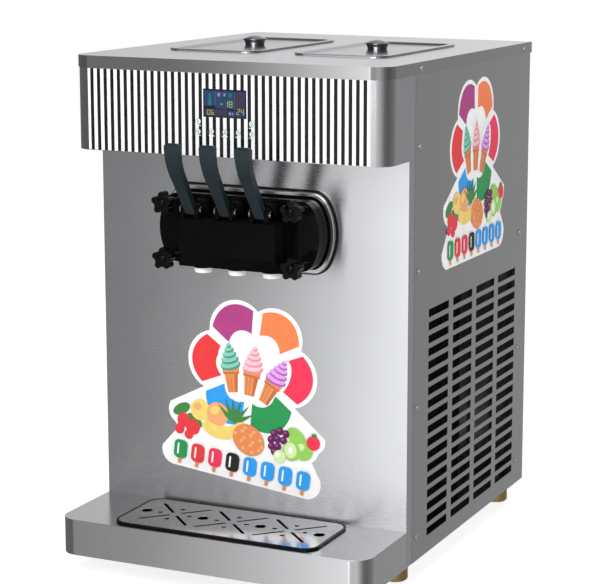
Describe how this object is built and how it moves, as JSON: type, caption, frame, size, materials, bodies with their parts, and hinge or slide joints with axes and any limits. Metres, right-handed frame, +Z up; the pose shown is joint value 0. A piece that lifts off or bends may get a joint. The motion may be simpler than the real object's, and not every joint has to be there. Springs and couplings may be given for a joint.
{
  "type": "soft serve machine",
  "caption": "Table-top soft serve machine with hoppers under lids, lever-worked dispensing valves, control panel, drip tray and louvred steel cabinet.",
  "frame": {"origin": "centre of the footprint on the surface the feet stand on", "axes": "+Z up, -Y towards the operator, where the handles and drip tray are, +X to the right as seen from the front"},
  "size_m": [0.5486, 0.712, 0.8435],
  "materials": {
    "brushed_steel": "brushed satin",
    "side_steel": "brushed satin",
    "polished_steel": "polished",
    "galvanised": "dull zinc",
    "foot_brass": "satin",
    "stripe_film": "printed film with black and white stripes",
    "lcd": "dark glossy screen",
    "key_film": "printed film",
    "black_plastic": "satin",
    "gloss_black": "high gloss",
    "slate_plastic": "satin",
    "white_plastic": "satin",
    "foam": "matt foam",
    "grey_paint": "semi gloss",
    "black_paint": "semi gloss",
    "machined_steel": "machined",
    "belt_rubber": "matt",
    "copper": "drawn tube"
  },
  "bodies": {
    "cabinet": {"base_pan": "galvanised", "feet": "foot_brass", "corner_posts": "galvanised", "side_panel_left": "side_steel", "side_panel_right": "side_steel", "rear_panel": "side_steel", "front_panel": "brushed_steel", "top_panel": "brushed_steel", "hood": "brushed_steel", "stripe_overlay": "stripe_film", "display": "lcd", "panel_screws": "polished_steel", "shelf": "brushed_steel", "head_gasket": "black_plastic", "head_ring": "polished_steel", "head_flange": "gloss_black", "dispensing_head": "gloss_black", "handle_cheeks": "gloss_black", "outlet_caps": "white_plastic", "head_studs": "polished_steel", "handle_pins": "polished_steel", "hopper_left": "brushed_steel", "hopper_right": "brushed_steel", "insulation": "foam", "feed_tubes": "white_plastic", "freezing_cylinders": "brushed_steel", "gearbox": "grey_paint", "drive_belt": "belt_rubber", "drive_motor": "grey_paint", "compressor": "black_paint", "condenser": "black_paint", "fan_shroud": "galvanised", "fan_motor": "black_paint", "control_box": "galvanised", "refrigerant_pipes": "copper"},
    "drip_pan": {"drip_pan": "black_plastic"},
    "drip_grate": {"drip_grate": "brushed_steel"},
    "key_1": {"key_1": "key_film"},
    "key_2": {"key_2": "key_film"},
    "key_3": {"key_3": "key_film"},
    "key_4": {"key_4": "key_film"},
    "key_5": {"key_5": "key_film"},
    "head_knob_upper_left": {"head_knob_upper_left": "black_plastic"},
    "head_knob_upper_right": {"head_knob_upper_right": "black_plastic"},
    "head_knob_lower_left": {"head_knob_lower_left": "black_plastic"},
    "head_knob_lower_right": {"head_knob_lower_right": "black_plastic"},
    "handle_left": {"handle_left": "slate_plastic"},
    "handle_centre": {"handle_centre": "slate_plastic"},
    "handle_right": {"handle_right": "slate_plastic"},
    "plunger_left": {"plunger_left": "black_plastic"},
    "plunger_centre": {"plunger_centre": "black_plastic"},
    "plunger_right": {"plunger_right": "black_plastic"},
    "lid_left": {"lid_left": "brushed_steel", "lid_knob_left": "polished_steel"},
    "lid_right": {"lid_right": "brushed_steel", "lid_knob_right": "polished_steel"},
    "beater_left": {"beater_left": "white_plastic"},
    "beater_right": {"beater_right": "white_plastic"},
    "gearbox_pulley": {"gearbox_pulley": "machined_steel"},
    "motor_pulley": {"motor_pulley": "machined_steel"},
    "fan_blade": {"fan_blade": "white_plastic"}
  },
  "joints": [
    {"name": "handle_left_swing", "type": "hinge", "parent": "cabinet", "child": "handle_left", "pos_m": [-0.06, -0.282, 0.595], "axis": [1, 0, 0], "range_deg": [0, 40]},
    {"name": "plunger_left_lift", "type": "slide", "parent": "cabinet", "child": "plunger_left", "axis": [0, 0, 1], "range_m": [0, 0.0232]},
    {"name": "handle_centre_swing", "type": "hinge", "parent": "cabinet", "child": "handle_centre", "pos_m": [0, -0.282, 0.595], "axis": [1, 0, 0], "range_deg": [0, 40]},
    {"name": "plunger_centre_lift", "type": "slide", "parent": "cabinet", "child": "plunger_centre", "axis": [0, 0, 1], "range_m": [0, 0.0232]},
    {"name": "handle_right_swing", "type": "hinge", "parent": "cabinet", "child": "handle_right", "pos_m": [0.06, -0.282, 0.595], "axis": [1, 0, 0], "range_deg": [0, 40]},
    {"name": "plunger_right_lift", "type": "slide", "parent": "cabinet", "child": "plunger_right", "axis": [0, 0, 1], "range_m": [0, 0.0232]},
    {"name": "head_knob_upper_left_turn", "type": "hinge", "parent": "cabinet", "child": "head_knob_upper_left", "pos_m": [-0.1115, -0.278, 0.602], "axis": [0, 1, 0], "continuous": true},
    {"name": "head_knob_upper_right_turn", "type": "hinge", "parent": "cabinet", "child": "head_knob_upper_right", "pos_m": [0.1115, -0.278, 0.602], "axis": [0, 1, 0], "continuous": true},
    {"name": "head_knob_lower_left_turn", "type": "hinge", "parent": "cabinet", "child": "head_knob_lower_left", "pos_m": [-0.1115, -0.278, 0.514], "axis": [0, 1, 0], "continuous": true},
    {"name": "head_knob_lower_right_turn", "type": "hinge", "parent": "cabinet", "child": "head_knob_lower_right", "pos_m": [0.1115, -0.278, 0.514], "axis": [0, 1, 0], "continuous": true},
    {"name": "lid_left_lift", "type": "slide", "parent": "cabinet", "child": "lid_left", "axis": [0, 0, 1], "range_m": [0, 0.2]},
    {"name": "lid_right_lift", "type": "slide", "parent": "cabinet", "child": "lid_right", "axis": [0, 0, 1], "range_m": [0, 0.2]},
    {"name": "drip_pan_lift", "type": "slide", "parent": "cabinet", "child": "drip_pan", "axis": [0, 0, 1], "range_m": [0, 0.06]},
    {"name": "drip_grate_lift", "type": "slide", "parent": "drip_pan", "child": "drip_grate", "axis": [0, 0, 1], "range_m": [0, 0.04]},
    {"name": "key_1_press", "type": "slide", "parent": "cabinet", "child": "key_1", "axis": [0, 1, 0], "range_m": [0, 0.0005], "stiffness_N_per_m": 1500},
    {"name": "key_2_press", "type": "slide", "parent": "cabinet", "child": "key_2", "axis": [0, 1, 0], "range_m": [0, 0.0005], "stiffness_N_per_m": 1500},
    {"name": "key_3_press", "type": "slide", "parent": "cabinet", "child": "key_3", "axis": [0, 1, 0], "range_m": [0, 0.0005], "stiffness_N_per_m": 1500},
    {"name": "key_4_press", "type": "slide", "parent": "cabinet", "child": "key_4", "axis": [0, 1, 0], "range_m": [0, 0.0005], "stiffness_N_per_m": 1500},
    {"name": "key_5_press", "type": "slide", "parent": "cabinet", "child": "key_5", "axis": [0, 1, 0], "range_m": [0, 0.0005], "stiffness_N_per_m": 1500},
    {"name": "motor_turn", "type": "hinge", "parent": "cabinet", "child": "motor_pulley", "pos_m": [0, 0.192, 0.3], "axis": [0, 1, 0], "continuous": true},
    {"name": "gearbox_input_turn", "type": "hinge", "parent": "cabinet", "child": "gearbox_pulley", "pos_m": [0, 0.192, 0.558], "axis": [0, 1, 0], "continuous": true},
    {"name": "beater_left_turn", "type": "hinge", "parent": "cabinet", "child": "beater_left", "pos_m": [-0.06, -0.048, 0.558], "axis": [0, 1, 0], "continuous": true},
    {"name": "beater_right_turn", "type": "hinge", "parent": "cabinet", "child": "beater_right", "pos_m": [0.06, -0.048, 0.558], "axis": [0, 1, 0], "continuous": true},
    {"name": "fan_turn", "type": "hinge", "parent": "cabinet", "child": "fan_blade", "pos_m": [0.16, -0.012, 0.26], "axis": [1, 0, 0], "continuous": true}
  ],
  "couplings": [
    {"joint": "plunger_left_lift", "follows": "handle_left_swing", "m_per_rad": 0.03315},
    {"joint": "plunger_centre_lift", "follows": "handle_centre_swing", "m_per_rad": 0.03315},
    {"joint": "plunger_right_lift", "follows": "handle_right_swing", "m_per_rad": 0.03315},
    {"joint": "gearbox_input_turn", "follows": "motor_turn", "ratio": 0.566},
    {"joint": "beater_left_turn", "follows": "motor_turn", "ratio": 0.0809},
    {"joint": "beater_right_turn", "follows": "motor_turn", "ratio": -0.0809}
  ]
}
